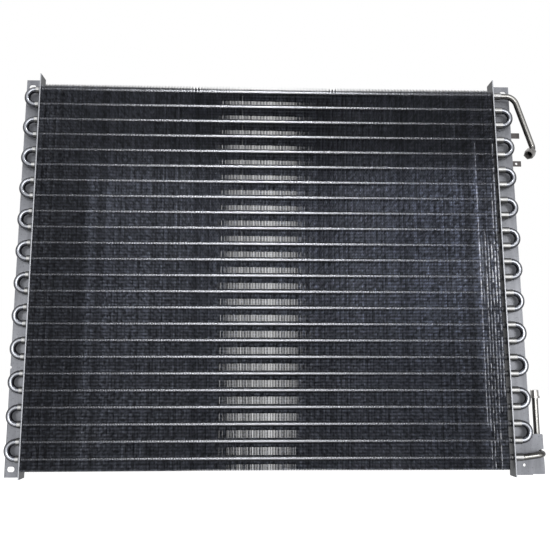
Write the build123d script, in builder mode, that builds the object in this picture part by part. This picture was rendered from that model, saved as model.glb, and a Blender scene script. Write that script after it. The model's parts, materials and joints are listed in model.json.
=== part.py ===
from build123d import *
from math import radians, tan
import os

os.makedirs("parts", exist_ok=True)

# Air conditioning condenser: one row of finned tubes between two folded end plates.
# Millimetres. X runs along the tubes, Y from the front face to the rear, Z is up.
# The origin is at the bottom centre of the whole part.

# Tubes
tube_rows = 24
tube_pitch = 25.4
tube_diameter = 9.53
tube_wall = 0.8
braze_gap = 0.05
bell_cone = 1.5
left_bell = 9.2
right_bell = 15.6
socket_floor_gap = 0.5

# End plates. The right one leans: its foot stands further out than its top
plate_gap = 739.2
plate_depth = 28.0
sheet = 1.5
fold_radius = 1.5
top_margin = 22.4
bottom_margin = 28.4
left_flange = 29.3
right_flange = 35.0
right_lean = 5.2
hole_clearance = 0.15

# Openings in the rear flanges
slot_length = 11.0
slot_width = 8.0
slot_edge = 4.0
slot_end = 8.0
jig_notch_radius = 2.2
jig_notch_height = 165.0
small_hole_diameter = 4.5
small_hole_edge = 12.5
small_hole_height = 15.0

# Ear welded to the foot of the right flange, with a notch for the outlet pipe
ear_width = 19.5
ear_bottom = 1.2
ear_top = 62.0
ear_corner = 1.5
notch_clearance = 1.4

# Fins
fin_pitch = 2.42
fin_thickness = 0.2
fin_depth = 25.4
fin_top_margin = 5.4
fin_bottom_margin = 17.7
fin_left_gap = 0.6
fin_right_gap = 3.2
fin_clearance = 0.1

# Return bends
bend_lead = 1.0

# Inlet pipe, which leaves row 1, leans outward as it drops and turns to the front
inlet_reach = 37.8
inlet_lean = 17.2
inlet_drop = 91.8
inlet_shoulder_radius = 19.0
inlet_end_radius = 12.0
inlet_end_length = 15.8
inlet_end_left = 0.61
inlet_end_forward = 0.53
inlet_end_down = 0.58

# Flare and nut at the end of the inlet pipe. The flare sits in a relief behind the nut's thread
flare_diameter = 11.0
flare_length = 1.6
nut_across_flats = 14.5
nut_body = 5.0
nut_relief_diameter = 12.4
nut_thread_diameter = 11.4
nut_thread_length = 6.0
nut_clearance = 0.1

# Outlet pipe, which leaves row 24, passes through the ear's notch and rises behind it
outlet_lead = 3.0
outlet_lead_radius = 25.0
outlet_reach = 50.9
outlet_rise = 4.2
outlet_setback = 27.0
outlet_bend_radius = 12.0

# Male fitting at the top of the outlet pipe
collar_height = 117.0
collar_diameter = 15.0
collar_length = 3.4
thread_diameter = 12.4
thread_length = 9.4
thread_chamfer = 0.8
fitting_socket = 6.0

# Tabs behind the right flange
tab_reach = 14.4
tab_lap = 9.0
tab_width = 9.2
tab_thickness = 1.2
upper_tab_height = 549.8
tab_spacing = 48.6
tab_hole_diameter = 4.2
tab_hole_reach = 6.4

# Heights and radii that follow
tube_radius = tube_diameter / 2
bore_radius = tube_radius - tube_wall
socket_radius = tube_radius + braze_gap
bell_radius = socket_radius + tube_wall
bottom_row = bottom_margin
top_row = bottom_row + (tube_rows - 1) * tube_pitch
middle_row = (bottom_row + top_row) / 2
plate_height = top_row + top_margin
lower_tab_height = upper_tab_height - tab_spacing

# Where the inlet pipe ends, from the plate and from the tubes
inlet_spread = inlet_drop * tan(radians(inlet_lean))
inlet_end_direction = Vector(-inlet_end_left, -inlet_end_forward, -inlet_end_down).normalized()
nut_forward = (inlet_end_length + nut_thread_length) * inlet_end_forward + nut_across_flats / 2

# The core stands in the middle of the box around the left flange and the inlet pipe,
# and of the box around the nut in front and the collar behind
core_x = (left_flange + right_lean / 2 - inlet_reach - inlet_spread - tube_radius) / 2
tube_y = (nut_forward - outlet_setback - collar_diameter / 2) / 2
front_y = tube_y - plate_depth / 2
rear_y = front_y + plate_depth

left_inner = core_x - plate_gap / 2
left_outer = left_inner - sheet
left_tip = left_outer - left_flange
left_mouth = left_outer - left_bell
right_inner = core_x + plate_gap / 2
right_outer = right_inner + sheet
right_tip = right_outer + right_flange
left_insert = left_bell - bell_cone - socket_floor_gap
right_insert = right_bell - bell_cone - socket_floor_gap


def row_height(row):
    """Height of a tube's axis, with row 1 at the top."""
    return top_row - (row - 1) * tube_pitch


def lean_at(height):
    """How far the right plate has moved outward at a height, from where it stands at mid height."""
    return right_lean * (0.5 - height / plate_height)


def save(piece, name):
    """Label a finished piece and write it."""
    piece.label = name
    export_step(piece, f"parts/{name}.step")


def folded_plate(inner, outer, tip, lean):
    """End plate: a web with a hole for each tube, and a flange folded outward at the rear."""
    with BuildPart() as plate:
        with BuildSketch(Plane.XY) as section:
            with BuildLine():
                Polyline(
                    (inner, front_y),
                    (outer, front_y),
                    (outer, rear_y - sheet),
                    (tip, rear_y - sheet),
                    (tip, rear_y),
                    (inner, rear_y),
                    close=True,
                )
            make_face()
            inside = section.vertices().sort_by_distance((outer, rear_y - sheet))[0]
            fillet(inside, fold_radius)
            outside = section.vertices().sort_by_distance((inner, rear_y))[0]
            fillet(outside, fold_radius + sheet)
        rise = Vector(-lean, 0, plate_height)
        extrude(amount=rise.length, dir=rise.normalized())
        with BuildSketch(Plane.YZ.offset(min(inner, outer) - lean)):
            with Locations((tube_y, middle_row)):
                with GridLocations(tube_pitch, tube_pitch, 1, tube_rows):
                    Circle(tube_radius + hole_clearance)
        extrude(amount=sheet + lean, mode=Mode.SUBTRACT)
    return plate.part


def tube(right_neck):
    """A straight tube along X, belled past each plate to take the return bends."""
    left_cone = left_outer - bell_cone
    right_cone = right_neck + bell_cone
    right_end = right_neck + right_bell
    with BuildPart() as piece:
        with BuildSketch(Plane.XY):
            with BuildLine():
                Polyline(
                    (left_mouth, socket_radius),
                    (left_mouth, bell_radius),
                    (left_cone, bell_radius),
                    (left_outer, tube_radius),
                    (right_neck, tube_radius),
                    (right_cone, bell_radius),
                    (right_end, bell_radius),
                    (right_end, socket_radius),
                    (right_cone, socket_radius),
                    (right_neck, bore_radius),
                    (left_outer, bore_radius),
                    (left_cone, socket_radius),
                    close=True,
                )
            make_face()
        revolve(axis=Axis.X)
    return piece.part


def pipe(path):
    """A round pipe along a path of straight runs and tangent arcs."""
    with BuildPart() as piece:
        with BuildSketch(Plane(origin=path @ 0, z_dir=path % 0)):
            Circle(tube_radius)
            Circle(bore_radius, mode=Mode.SUBTRACT)
        sweep(path=path)
    return piece.part


def return_bend(side, insert):
    """A U of tube centred between two rows, with its legs in their bells. Its X starts at the mouths."""
    half = tube_pitch / 2
    with BuildLine(Plane.XZ) as route:
        Line((-side * insert, half), (side * bend_lead, half))
        ThreePointArc(
            (side * bend_lead, half),
            (side * (bend_lead + half), 0),
            (side * bend_lead, -half),
        )
        Line((side * bend_lead, -half), (-side * insert, -half))
    return pipe(route.wires()[0])


# End plates
with BuildPart() as left_side_plate:
    add(folded_plate(left_inner, left_outer, left_tip, 0))
    with BuildSketch(Plane.XZ.offset(-rear_y)):
        slot_x = left_tip + slot_edge + slot_length / 2
        slot_z = slot_end + slot_width / 2
        with Locations((slot_x, slot_z), (slot_x, plate_height - slot_z)):
            SlotOverall(slot_length, slot_width)
        with Locations((left_tip, jig_notch_height)):
            Circle(jig_notch_radius)
    extrude(amount=sheet, mode=Mode.SUBTRACT)

foot_lean = lean_at(0)
head_slot_x = right_tip + lean_at(plate_height - slot_z) - slot_edge - slot_length / 2
with BuildPart() as right_side_plate:
    add(folded_plate(right_inner + foot_lean, right_outer + foot_lean, right_tip + foot_lean, right_lean))
    with BuildSketch(Plane.XZ.offset(-rear_y)):
        with Locations((head_slot_x, plate_height - slot_z)):
            SlotOverall(slot_length, slot_width)
        with Locations((right_tip + lean_at(small_hole_height) - small_hole_edge, small_hole_height)):
            Circle(small_hole_diameter / 2)
    extrude(amount=sheet, mode=Mode.SUBTRACT)

# Ear, cut to the slope of the flange's edge, with a notch around the outlet pipe
riser_x = right_outer + lean_at(bottom_row) + outlet_reach
riser_y = tube_y + outlet_setback
outlet_z = bottom_row + outlet_rise
notch_radius = tube_radius + notch_clearance
with BuildPart() as outlet_ear:
    with BuildSketch(Plane.XZ.offset(-rear_y)) as ear:
        with BuildLine():
            Polyline(
                (right_tip + lean_at(ear_bottom), ear_bottom),
                (right_tip + lean_at(ear_bottom) + ear_width, ear_bottom),
                (right_tip + lean_at(ear_top) + ear_width, ear_top),
                (right_tip + lean_at(ear_top), ear_top),
                close=True,
            )
        make_face()
        fillet(ear.vertices().sort_by(Axis.X)[-2:], ear_corner)
        with Locations((riser_x, outlet_z)):
            Circle(notch_radius, mode=Mode.SUBTRACT)
            Rectangle(ear_width, 2 * notch_radius, align=(Align.MIN, Align.CENTER), mode=Mode.SUBTRACT)
    extrude(amount=sheet)

# Fins: thin plates across the tubes, each open along the row of tubes
fin_space = plate_gap - fin_left_gap - fin_right_gap
fin_count = int((fin_space - fin_thickness) / fin_pitch) + 1
fins_x = left_inner + fin_left_gap + (fin_thickness + (fin_count - 1) * fin_pitch) / 2
fin_bottom = bottom_row - fin_bottom_margin
fin_height = top_row + fin_top_margin - fin_bottom
window_half = tube_radius + fin_clearance

with BuildPart() as fin_pack:
    with Locations((fins_x, tube_y, fin_bottom + fin_height / 2)):
        with GridLocations(fin_pitch, fin_depth, fin_count, 1):
            Box(fin_thickness, fin_depth, fin_height)
    with Locations((fins_x, tube_y, middle_row)):
        Box(
            plate_gap,
            2 * window_half,
            top_row - bottom_row + 2 * window_half,
            mode=Mode.SUBTRACT,
        )

# Tubes
for row in range(1, tube_rows + 1):
    height = row_height(row)
    straight_tube = tube(right_outer + lean_at(height))
    save(straight_tube.moved(Location((0, tube_y, height))), f"tube_{row:02d}")

# Return bends: the left ones join rows 1 and 2, 3 and 4 and on, the right ones 2 and 3, 4 and 5
left_pairs = [row_height(row) - tube_pitch / 2 for row in range(1, tube_rows, 2)]
right_pairs = [row_height(row) - tube_pitch / 2 for row in range(2, tube_rows - 1, 2)]

with BuildPart() as left_return_bends:
    with Locations(*[(left_mouth, tube_y, z) for z in left_pairs]):
        add(return_bend(-1, left_insert))

with BuildPart() as right_return_bends:
    with Locations(*[(right_outer + lean_at(z) + right_bell, tube_y, z) for z in right_pairs]):
        add(return_bend(1, right_insert))

# Inlet pipe, flared at its end
top_outer = right_outer + lean_at(top_row)
inlet_corner = Vector(top_outer + inlet_reach, tube_y, top_row)
inlet_foot = inlet_corner + Vector(inlet_spread, 0, -inlet_drop)
inlet_end = inlet_foot + inlet_end_direction * inlet_end_length
with BuildLine() as inlet_route:
    FilletPolyline(
        (top_outer + right_bell - right_insert, tube_y, top_row),
        inlet_corner,
        inlet_foot,
        inlet_end,
        radius=[inlet_shoulder_radius, inlet_end_radius],
    )
with BuildPart() as inlet_pipe:
    add(pipe(inlet_route.wires()[0]))
    with Locations(Plane(origin=inlet_end, z_dir=-inlet_end_direction)):
        Cone(
            flare_diameter / 2,
            tube_radius,
            flare_length,
            align=(Align.CENTER, Align.CENTER, Align.MIN),
        )
        Cylinder(
            bore_radius,
            flare_length,
            align=(Align.CENTER, Align.CENTER, Align.MIN),
            mode=Mode.SUBTRACT,
        )

# Nut that holds the flare at the floor of its relief
nut_floor = inlet_end - inlet_end_direction * flare_length
with BuildPart() as inlet_nut:
    with BuildSketch(Plane(origin=nut_floor - inlet_end_direction * nut_body, z_dir=inlet_end_direction)):
        RegularPolygon(nut_across_flats / 2, 6, major_radius=False)
        Circle(tube_radius + nut_clearance, mode=Mode.SUBTRACT)
    extrude(amount=nut_body + flare_length + nut_thread_length)
    with BuildSketch(Plane(origin=nut_floor, z_dir=inlet_end_direction)):
        Circle(nut_relief_diameter / 2)
    extrude(amount=flare_length, mode=Mode.SUBTRACT)
    with BuildSketch(Plane(origin=inlet_end, z_dir=inlet_end_direction)):
        Circle(nut_thread_diameter / 2)
    extrude(amount=nut_thread_length, mode=Mode.SUBTRACT)

# Outlet pipe
foot_mouth = right_outer + lean_at(bottom_row) + right_bell
with BuildLine() as outlet_route:
    FilletPolyline(
        (foot_mouth - right_insert, tube_y, bottom_row),
        (foot_mouth + outlet_lead, tube_y, bottom_row),
        (riser_x, tube_y, outlet_z),
        (riser_x, riser_y, outlet_z),
        (riser_x, riser_y, collar_height + fitting_socket - socket_floor_gap),
        radius=[outlet_lead_radius, outlet_bend_radius, outlet_bend_radius],
    )
outlet_pipe = pipe(outlet_route.wires()[0])

# Male fitting brazed over the top of the outlet pipe
with BuildPart() as outlet_fitting:
    with BuildSketch(Plane.XZ):
        with BuildLine():
            Polyline(
                (socket_radius, 0),
                (collar_diameter / 2, 0),
                (collar_diameter / 2, collar_length),
                (thread_diameter / 2, collar_length),
                (thread_diameter / 2, collar_length + thread_length - thread_chamfer),
                (thread_diameter / 2 - thread_chamfer, collar_length + thread_length),
                (bore_radius, collar_length + thread_length),
                (bore_radius, fitting_socket),
                (socket_radius, fitting_socket),
                close=True,
            )
        make_face()
    revolve(axis=Axis.Z)
fitting_placed = outlet_fitting.part.moved(Location((riser_x, riser_y, collar_height)))


def tab(height):
    """A short strip fixed behind the right flange, standing out past its edge."""
    with BuildPart() as piece:
        with BuildSketch(Plane.XZ.offset(-rear_y)):
            with Locations((right_tip + lean_at(height) - tab_lap, height)):
                Rectangle(tab_lap + tab_reach, tab_width, align=(Align.MIN, Align.CENTER))
        extrude(amount=-tab_thickness)
    return piece.part


with BuildPart() as lower_tab:
    add(tab(lower_tab_height))
    with BuildSketch(Plane.XZ.offset(-rear_y)):
        with Locations((right_tip + lean_at(lower_tab_height) + tab_hole_reach, lower_tab_height)):
            Circle(tab_hole_diameter / 2)
    extrude(amount=-tab_thickness, mode=Mode.SUBTRACT)

save(left_side_plate.part, "left_side_plate")
save(right_side_plate.part, "right_side_plate")
save(outlet_ear.part, "outlet_ear")
save(fin_pack.part, "fin_pack")
save(left_return_bends.part, "left_return_bends")
save(right_return_bends.part, "right_return_bends")
save(inlet_pipe.part, "inlet_pipe")
save(inlet_nut.part, "inlet_nut")
save(outlet_pipe, "outlet_pipe")
save(fitting_placed, "outlet_fitting")
save(tab(upper_tab_height), "upper_tab")
save(lower_tab.part, "lower_tab")
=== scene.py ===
import bpy
import json
import math
import numpy as np
from mathutils import Matrix, Vector


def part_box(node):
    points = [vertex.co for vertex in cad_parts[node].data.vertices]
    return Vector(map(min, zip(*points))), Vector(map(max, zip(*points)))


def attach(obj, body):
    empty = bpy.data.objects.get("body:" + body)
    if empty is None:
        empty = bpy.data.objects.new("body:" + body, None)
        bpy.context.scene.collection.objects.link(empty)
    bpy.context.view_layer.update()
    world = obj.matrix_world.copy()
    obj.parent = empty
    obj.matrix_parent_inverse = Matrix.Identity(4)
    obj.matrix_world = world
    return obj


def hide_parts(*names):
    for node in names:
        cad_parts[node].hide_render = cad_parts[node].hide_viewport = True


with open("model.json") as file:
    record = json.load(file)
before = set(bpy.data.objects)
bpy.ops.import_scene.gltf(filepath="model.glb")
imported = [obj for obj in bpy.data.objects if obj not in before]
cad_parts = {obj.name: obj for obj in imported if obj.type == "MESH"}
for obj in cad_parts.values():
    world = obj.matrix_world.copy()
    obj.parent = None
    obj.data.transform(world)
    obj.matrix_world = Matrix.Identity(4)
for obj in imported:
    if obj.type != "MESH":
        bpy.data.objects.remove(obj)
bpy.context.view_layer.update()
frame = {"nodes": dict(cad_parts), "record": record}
nodes = frame["nodes"]

# Places on the part, in metres. X runs along the tubes, Y from the front to the rear, Z is up
fin_low, fin_high = [np.array(corner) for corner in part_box("fin_pack")]
tube_low, tube_high = [np.array(corner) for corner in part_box("tube_24")]
plate_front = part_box("left_side_plate")[0][1]
middle = (fin_low[0] + fin_high[0]) / 2
rows = 24
row_pitch = 0.0254
row_low = (tube_low[2] + tube_high[2]) / 2
fin_pitch = 0.00242
fin_thickness = 0.0002
fin_count = int(round((fin_high[0] - fin_low[0] - fin_thickness) / fin_pitch)) + 1


# Materials

class Look:
    """The nodes of one material or of the world, with short ways to add to them."""

    def __init__(self, owner, shader):
        owner.use_nodes = True
        self.owner = owner
        self.tree = owner.node_tree
        self.sockets = self.tree.nodes[shader].inputs

    def feed(self, value, socket):
        """Links a socket to another node's output, or sets it to a fixed value."""
        if isinstance(value, bpy.types.NodeSocket):
            self.tree.links.new(value, socket)
        else:
            socket.default_value = value

    def fill(self, sockets, values):
        """Feeds sockets by name. An underscore stands for a space."""
        for name, value in values.items():
            self.feed(value, sockets[name.replace("_", " ")])

    def set(self, **values):
        """Feeds the shader's own inputs."""
        self.fill(self.sockets, values)

    def node(self, kind, **values):
        """A new node with some of its inputs fed."""
        made = self.tree.nodes.new(f"ShaderNode{kind}")
        self.fill(made.inputs, values)
        return made

    def coordinates(self, kind):
        """The Object or Normal coordinates of the surface."""
        return self.node("TexCoord").outputs[kind]

    def axes(self, kind):
        """X, Y and Z of the Object or Normal coordinates."""
        return self.node("SeparateXYZ", Vector=self.coordinates(kind)).outputs

    def attribute(self, name):
        """A value that the mesh holds at its points."""
        made = self.node("Attribute")
        made.attribute_name = name
        return made.outputs["Fac"]

    def noise(self, vector, scale, detail, roughness=0.5):
        """Cloudy values around a half."""
        made = self.node("TexNoise", Vector=vector, Scale=scale, Detail=detail, Roughness=roughness)
        return made.outputs["Fac"]

    def maths(self, operation, *values):
        """An operation on one value or two."""
        made = self.node("Math")
        made.operation = operation
        for value, socket in zip(values, made.inputs):
            self.feed(value, socket)
        return made.outputs[0]

    def spread(self, value, start=0.0, stop=1.0, low=0.0, high=1.0):
        """A value carried from the range start to stop to the range low to high."""
        made = self.node("MapRange", Value=value, From_Min=start, From_Max=stop,
                         To_Min=low, To_Max=high)
        return made.outputs["Result"]

    def facing(self, low, high):
        """A mask of 1 on the faces turned straight to the part's front or rear."""
        made = self.node("MapRange", From_Min=low, From_Max=high)
        made.interpolation_type = "SMOOTHSTEP"
        self.fill(made.inputs, {"Value": self.maths("ABSOLUTE", self.axes("Normal")["Y"])})
        return made.outputs["Result"]

    def ramp(self, value, *stops):
        """Colours along a value, each stop a place and a colour."""
        made = self.node("ValToRGB", Fac=value)
        elements = made.color_ramp.elements
        elements[0].position, elements[0].color = stops[0][0], (*stops[0][1], 1)
        elements[1].position, elements[1].color = stops[-1][0], (*stops[-1][1], 1)
        for place, colour in stops[1:-1]:
            elements.new(place).color = (*colour, 1)
        return made.outputs["Color"]

    def scaled(self, colour, factor):
        """A colour times a value."""
        made = self.node("VectorMath")
        made.operation = "SCALE"
        self.fill(made.inputs, {"Vector": colour, "Scale": factor})
        return made.outputs["Vector"]

    def lay(self, mask, colour):
        """Lays a fixed colour or a value over the base colour by a mask."""
        base = self.sockets["Base Color"]
        if isinstance(colour, tuple):
            colour = (*colour, 1)
        mix = self.node("Mix")
        mix.data_type = "RGBA"
        self.fill(mix.inputs, {"Factor": mask, "A": base.links[0].from_socket, "B": colour})
        self.feed(mix.outputs["Result"], base)

    def background_rays(self):
        """1 where the camera, a reflection or glass sees the surface, 0 where it only lights."""
        path = self.node("LightPath").outputs
        seen = self.maths("MAXIMUM", path["Is Camera Ray"], path["Is Glossy Ray"])
        return self.maths("MAXIMUM", seen, path["Is Transmission Ray"])


def material(name):
    """A new material with a Principled shader."""
    return Look(bpy.data.materials.new(name), "Principled BSDF")


def metal(name, dark, light, metallic, rough, scale, bump, stretch=(1, 1, 1), spots=None):
    """Metal with a mottled colour, uneven roughness, fine scratches and optional dark spots."""
    look = material(name)
    place = look.coordinates("Object")
    drawn = look.node("Mapping", Vector=place, Scale=stretch).outputs["Vector"]
    cloud = look.noise(drawn, scale, 5.0, 0.6)
    look.set(Metallic=metallic, Base_Color=look.ramp(cloud, (0.3, dark), (0.7, light)))
    if spots:
        size, colour = spots
        dots = look.noise(place, size, 2.0)
        look.lay(look.ramp(dots, (0.60, (0, 0, 0)), (0.68, (1, 1, 1))), colour)
    fine = look.noise(drawn, scale * 7, 4.0, 0.65)
    relief = look.node("Bump", Strength=bump, Distance=0.0004, Height=fine)
    look.set(Roughness=look.spread(fine, low=rough * 0.75, high=rough * 1.3),
             Normal=relief.outputs["Normal"])
    return look


def paint_highlight_strip(look, bright, low, high):
    """Paints a highlight: a bright strip on the faces of dark round pipes that are turned to the
    front or rear.
    """
    look.lay(look.facing(low, high), bright)
    return look


def plate_look():
    """Dull plated sheet, dark on the webs' inner faces and lighter along their front edges."""
    look = metal("side_plate_metal", (0.155, 0.16, 0.178), (0.245, 0.252, 0.275), 0.35, 0.38, 26,
                 0.10, stretch=(3, 3, 0.4), spots=(420, (0.13, 0.134, 0.15)))
    place = look.axes("Object")
    outward = look.maths("MULTIPLY", look.maths("SIGN", place["X"]), look.axes("Normal")["X"])
    look.lay(look.spread(outward, -0.5, -0.9), (0.022, 0.024, 0.03))
    edge_depth = (0.0012, 0.0002)
    edge = look.spread(place["Y"], *[plate_front + depth for depth in edge_depth])
    look.lay(edge, (0.40, 0.41, 0.44))
    return look


def tube_look():
    """Tubes coated dark with the fins, with a painted highlight along the front and rear, one flat
    grey between the fins' end and the bells, and painted highlights on the bells past the plates.
    """
    fins_end = (0.3660, 0.3668)
    bells_start = (0.3725, 0.3735)
    look = metal("tube_metal", (0.030, 0.032, 0.037), (0.055, 0.057, 0.064), 0.5, 0.34, 60, 0.08,
                 stretch=(0.2, 1, 1))
    # Painted highlight: a bright strip along the tubes' front and rear
    paint_highlight_strip(look, (0.64, 0.65, 0.69), 0.93, 0.975)
    # Between the fins' end and the bells, one flat grey over the coat and the painted highlight,
    # which dims that highlight there
    aside = look.maths("SUBTRACT", look.axes("Object")["X"], middle)
    aside = look.maths("ABSOLUTE", aside)
    look.lay(look.spread(aside, *fins_end), (0.11, 0.113, 0.122))
    # Painted highlights on the bells, brighter on the faces turned to the front and rear
    painted_bell_highlight = look.spread(look.facing(0.86, 0.99), low=0.06, high=0.48)
    look.lay(look.spread(aside, *bells_start), painted_bell_highlight)
    return look


def fin_look():
    """Coated fins with painted light and shade in ripple bands, greyer where they are dusty, bare
    where they are bent, and with a painted highlight at each row.
    """
    look = material("fin_coating")
    place = look.coordinates("Object")
    dust = look.noise(place, 9.0, 6.0, 0.6)
    colour = look.ramp(dust, (0.3, (0.122, 0.131, 0.160)), (0.6, (0.165, 0.177, 0.213)),
                       (0.8, (0.218, 0.229, 0.262)))
    # Painted light and shade of the fins' ripples: bands along the height that scale the colour
    ripple_shading = look.node("TexWave", Vector=place, Scale=62.0, Distortion=0.6, Detail=1.0)
    ripple_shading.bands_direction = "Z"
    colour = look.scaled(colour, look.spread(ripple_shading.outputs["Fac"], low=0.5, high=1.35))
    drawn = look.node("Mapping", Vector=place, Scale=(0.9, 0.03, 1)).outputs["Vector"]
    grain = look.noise(drawn, 215.0, 1.5, 0.7)
    colour = look.scaled(colour, look.spread(grain, 0.36, 0.64, 0.30, 1.75))
    look.set(Base_Color=look.scaled(colour, look.attribute("tone")),
             Roughness=look.spread(dust, low=0.35, high=0.6))

    # Bare metal in dashes, where the mesh says that a fin is bent
    dashes = look.spread(look.noise(place, 330.0, 1.0), 0.46, 0.56, low=0.06)
    look.lay(look.maths("MULTIPLY", look.attribute("bent"), dashes), (0.92, 0.93, 0.97))

    # A painted highlight at each row: a pale band across the fins' faces at the tube's height, by
    # its half height and its depth behind the fins' front edges
    row_highlight_half = (0.0013, 0.0007)
    row_highlight_depth = (0.0040, 0.0050)
    axes = look.axes("Object")
    from_row = look.maths("SUBTRACT", axes["Z"], row_low - row_pitch / 2)
    from_row = look.maths("MODULO", from_row, row_pitch)
    from_row = look.maths("ABSOLUTE", look.maths("SUBTRACT", from_row, row_pitch / 2))
    deep = look.spread(axes["Y"], *[fin_low[1] + depth for depth in row_highlight_depth])
    row_highlight = look.maths("MULTIPLY", look.spread(from_row, *row_highlight_half), deep)
    look.lay(row_highlight, (0.85, 0.86, 0.90))
    return look


bends = metal("return_bend_metal", (0.03, 0.032, 0.038), (0.06, 0.063, 0.072), 0.9, 0.26, 45,
              0.12, spots=(300, (0.02, 0.02, 0.025)))
pipes = metal("line_pipe_metal", (0.035, 0.034, 0.032), (0.09, 0.087, 0.083), 0.9, 0.24, 40,
              0.12, spots=(260, (0.02, 0.019, 0.017)))
fittings = metal("fitting_metal", (0.15, 0.145, 0.14), (0.36, 0.35, 0.335), 0.8, 0.30, 70, 0.15)
looks = {
    "side_plates": plate_look(),
    "tubes": tube_look(),
    # Painted highlights: bright strips along the front and rear of the return bends, line pipes and
    # fittings
    "return_bends": paint_highlight_strip(bends, (0.32, 0.33, 0.36), 0.90, 0.992),
    "line_pipes": paint_highlight_strip(pipes, (0.36, 0.355, 0.34), 0.90, 0.995),
    "fittings": paint_highlight_strip(fittings, (0.55, 0.54, 0.52), 0.88, 0.995),
    "tabs": metal("tab_metal", (0.045, 0.04, 0.04), (0.09, 0.08, 0.078), 0.4, 0.5, 60, 0.2),
    "fins": fin_look(),
}
for part in frame["record"]["subparts"]:
    obj = nodes[part["node"]]
    obj.data.materials.clear()
    obj.data.materials.append(looks[part["material_slot"]].owner)


# Fins: one thin sheet each, crimped across its depth and rippled behind every tube.
# Columns run from a fin's front edge to its rear, as shares of its depth

columns = np.array([0.0, 0.05, 0.34, 0.40, 0.47, 0.54, 0.78, 0.87, 0.96, 1.0])
crimps = np.array([0.0, 0.0, 0.0, 1.0, -1.0, 0.0, 0.0, 1.0, -1.0, 0.0])
waves = np.array([0.0, 0.0, 0.0, 0.0, 0.0, 0.0, 0.0, 1.0, -1.0, 0.0])
crimp, foot_crimp, foot_reach, crimp_spread = 0.000775, 0.0002, 0.1, 0.08
ripple = 0.00060
fin_slant, slant_spread, straight_ends = 0.0006, 0.00008, 0.02
edge_spread = 0.00007

# How light a fin's coating is, and how bare its front edge
tone_range = (0.55, 1.45)
clean_tone, dust_tone = 0.65, 1.3
edge_wear, point_wear = 0.30, 0.25

# Heights of a sheet's points, each with its share of the ripple, which ends at every tube
ripple_steps = ((-0.0104, 0.0), (-0.0094, 1.0), (0.0005, 1.0), (0.0013, 0.0))
levels = [(fin_low[2], 0.0)]
for row in range(rows):
    centre = row_low + row * row_pitch
    levels += [(centre + step, share) for step, share in ripple_steps]
levels += [(centre + 0.0030, 1.0), (fin_high[2], 1.0)]
heights = np.array([level[0] for level in levels])
wave_share = np.array([level[1] for level in levels])[:, None]
up_share = (heights - heights[0]) / (heights[-1] - heights[0])
deepened = crimp + foot_crimp * np.exp(-heights / foot_reach)[:, None]

# Bent edges at the right end, a crushed band among them, and two dents in the top
bent_reach, bent_top, bent_chance = 0.034, 0.85, 0.8
bent_push, bent_wear = (0.0005, 0.0009), (0.25, 0.75)
crushed_low, crushed_high, crushed_chance = 0.265, 0.36, 0.7
crushed_push = (0.0002, 0.0006)
dents = (middle - 0.118, middle + 0.105)
dent_width, dent_push, dent_drop = 0.005, 0.0016, 0.0012

across = len(columns)
up = len(heights)
cell = np.arange(up - 1)[:, None] * across + np.arange(across - 1)[None, :]
quads = np.stack([cell, cell + 1, cell + across + 1, cell + across], axis=-1).reshape(-1, 4)
random = np.random.default_rng(7)


def dusty_along(x):
    """The dust by place: none at the left end, a sharp edge, then more toward the right."""
    places = (0.078, 0.086, 0.30, 0.50, 0.70, 0.73)
    return float(np.interp(x - fin_low[0], places, (0.0, 0.55, 0.6, 1.0, 1.0, 0.6)))


def dusty_up(z):
    """The dust by height: most at the middle, less toward the foot and none at the head."""
    return np.interp(z, (fin_low[2], 0.20, 0.26, 0.45, 0.52), (0.35, 0.7, 1.0, 1.0, 0.0))


def bend_edge(sheet, worn):
    """Turns stretches of a fin's front edge aside and rubs them bare."""
    low = random.uniform(-0.3, 0.25)
    high = low + random.uniform(0.5, 0.9)
    bent = (up_share > low) & (up_share < high) & (up_share < bent_top)
    bent &= random.random(up) < bent_chance
    sheet[bent, 0, 0] += random.uniform(*bent_push)
    worn[bent, :2] = random.uniform(*bent_wear, (bent.sum(), 1))
    crushed = (heights > crushed_low) & (heights < crushed_high)
    crushed &= random.random(up) < crushed_chance
    sheet[crushed, 0, 0] += random.uniform(*crushed_push)
    worn[crushed, :2] = 1.0


def fin_sheet(fin):
    """A fin's points, how bare each one is and how light each level is."""
    x = fin_low[0] + fin_thickness / 2 + fin * fin_pitch
    sheet = np.empty((up, across, 3))
    along = (x - fin_low[0]) / (fin_high[0] - fin_low[0])
    slant = fin_slant if straight_ends < along < 1 - straight_ends else 0.0
    slant += random.normal(0, slant_spread)
    curve = deepened * random.normal(1, crimp_spread) * crimps
    sheet[..., 0] = x + ripple * wave_share * waves + slant * columns + curve
    sheet[..., 1] = fin_low[1] + columns[None, :] * (fin_high[1] - fin_low[1])
    sheet[..., 2] = heights[:, None]
    dust = dusty_along(x) * dusty_up(heights)
    shade = random.uniform(*tone_range) * (clean_tone + dust_tone * dust)
    worn = np.zeros((up, across))
    worn[:, 0] = random.uniform(0.0, edge_wear) + random.uniform(0.0, point_wear, up)
    sheet[:, :2, 0] += random.normal(0, edge_spread, up)[:, None]
    if fin_high[0] - x < bent_reach and fin % 2 == 0:
        bend_edge(sheet, worn)
    for dent in dents:
        near = math.exp(-((x - dent) / dent_width) ** 2)
        sheet[-2:, :, 0] += dent_push * near * (-1) ** fin
        sheet[-1, :, 2] -= dent_drop * near
    return sheet.reshape(-1, 3), worn.reshape(-1), np.repeat(shade, across)


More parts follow.
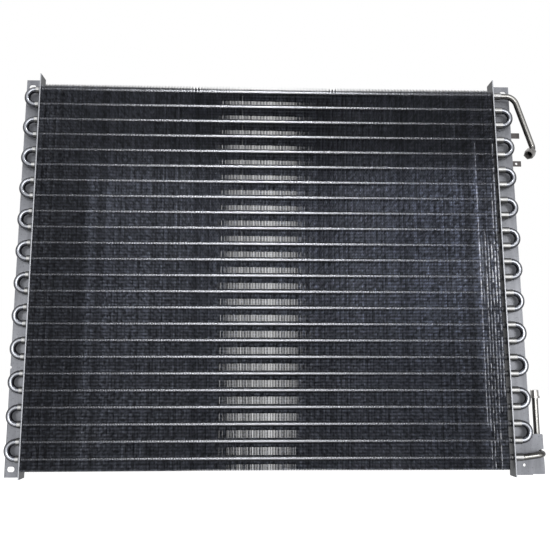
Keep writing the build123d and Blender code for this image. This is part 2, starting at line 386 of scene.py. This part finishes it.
def fin_rows(start, stop, name):
    """The sheets from one fin to another as a single mesh."""
    points, bare, tones = zip(*[fin_sheet(fin) for fin in range(start, stop)])
    faces = [quads + sheet * up * across for sheet in range(stop - start)]
    points = np.concatenate(points)
    points[:, 0] = np.clip(points[:, 0], fin_low[0], fin_high[0])
    mesh = bpy.data.meshes.new(name)
    mesh.from_pydata(points.tolist(), [], np.concatenate(faces).tolist())
    for label, values in (("bent", bare), ("tone", tones)):
        layer = mesh.attributes.new(label, "FLOAT", "POINT")
        layer.data.foreach_set("value", np.concatenate(values).astype(np.float32))
    mesh.materials.append(looks["fins"].owner)
    mesh.update()
    piece = bpy.data.objects.new(name, mesh)
    bpy.context.collection.objects.link(piece)
    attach(piece, "root")
    return piece


groups = 4
for group in range(groups):
    start, stop = fin_count * group // groups, fin_count * (group + 1) // groups
    batch = fin_rows(start, stop, f"fins_{group + 1}")
    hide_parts("fin_pack")


# Floor, surroundings and light

floor_look = material("floor_pale")
floor_look.set(Base_Color=(0.5, 0.5, 0.5, 1), Roughness=0.9, Specular_IOR_Level=0.0,
               Emission_Color=(1, 1, 1, 1),
               Emission_Strength=floor_look.maths("MULTIPLY", floor_look.background_rays(), 0.93))
reach = 9
mesh = bpy.data.meshes.new("floor")
mesh.from_pydata([(-reach, -reach, 0), (reach, -reach, 0), (reach, reach, 0), (-reach, reach, 0)],
                 [], [(0, 1, 2, 3)])
mesh.materials.append(floor_look.owner)
floor = bpy.data.objects.new("floor", mesh)
bpy.context.collection.objects.link(floor)

world = bpy.data.worlds.new("studio")
sky = Look(world, "Background")
sky.set(Color=(1, 1, 1, 1), Strength=sky.spread(sky.background_rays(), low=0.15))
bpy.context.scene.world = world


def softbox(name, place, target, width, height, watts):
    """A rectangular lamp that points at a target."""
    lamp = bpy.data.lights.new(name, "AREA")
    lamp.shape = "RECTANGLE"
    lamp.size, lamp.size_y, lamp.energy = width, height, watts
    made = bpy.data.objects.new(name, lamp)
    made.location = place
    made.rotation_euler = (Vector(target) - Vector(place)).to_track_quat("-Z", "Y").to_euler()
    bpy.context.collection.objects.link(made)


softbox("front", (0.25, -3.0, 0.42), (0, 0, 0.33), width=2.9, height=0.9, watts=58)
softbox("key", (0.1, -1.9, 2.0), (0, 0, 0.33), width=0.6, height=0.3, watts=20)
softbox("rear", (-0.3, 2.4, 3.0), (0, 0, 0.3), width=1.8, height=1.0, watts=34)
softbox("overhead", (0.0, -0.6, 2.6), (0, 0, 0.3), width=1.6, height=1.6, watts=14)

# Camera, at the photograph's viewpoint
eye = Vector((-0.04838, -1.06513, 0.14458))
forward = Vector((0.03472, 0.98746, 0.15402)).normalized()
upward = Vector((-0.00516, -0.15393, 0.98807))
right = forward.cross(upward).normalized()
upward = right.cross(forward)
lens = bpy.data.cameras.new("camera")
lens.sensor_fit = "HORIZONTAL"
lens.sensor_width = 36
lens.lens = 44.34
camera = bpy.data.objects.new("camera", lens)
turn = Matrix((right, upward, -forward)).transposed()
camera.matrix_world = Matrix.Translation(eye) @ turn.to_4x4()
bpy.context.collection.objects.link(camera)
bpy.context.scene.camera = camera
bpy.context.scene.view_settings.view_transform = "Standard"
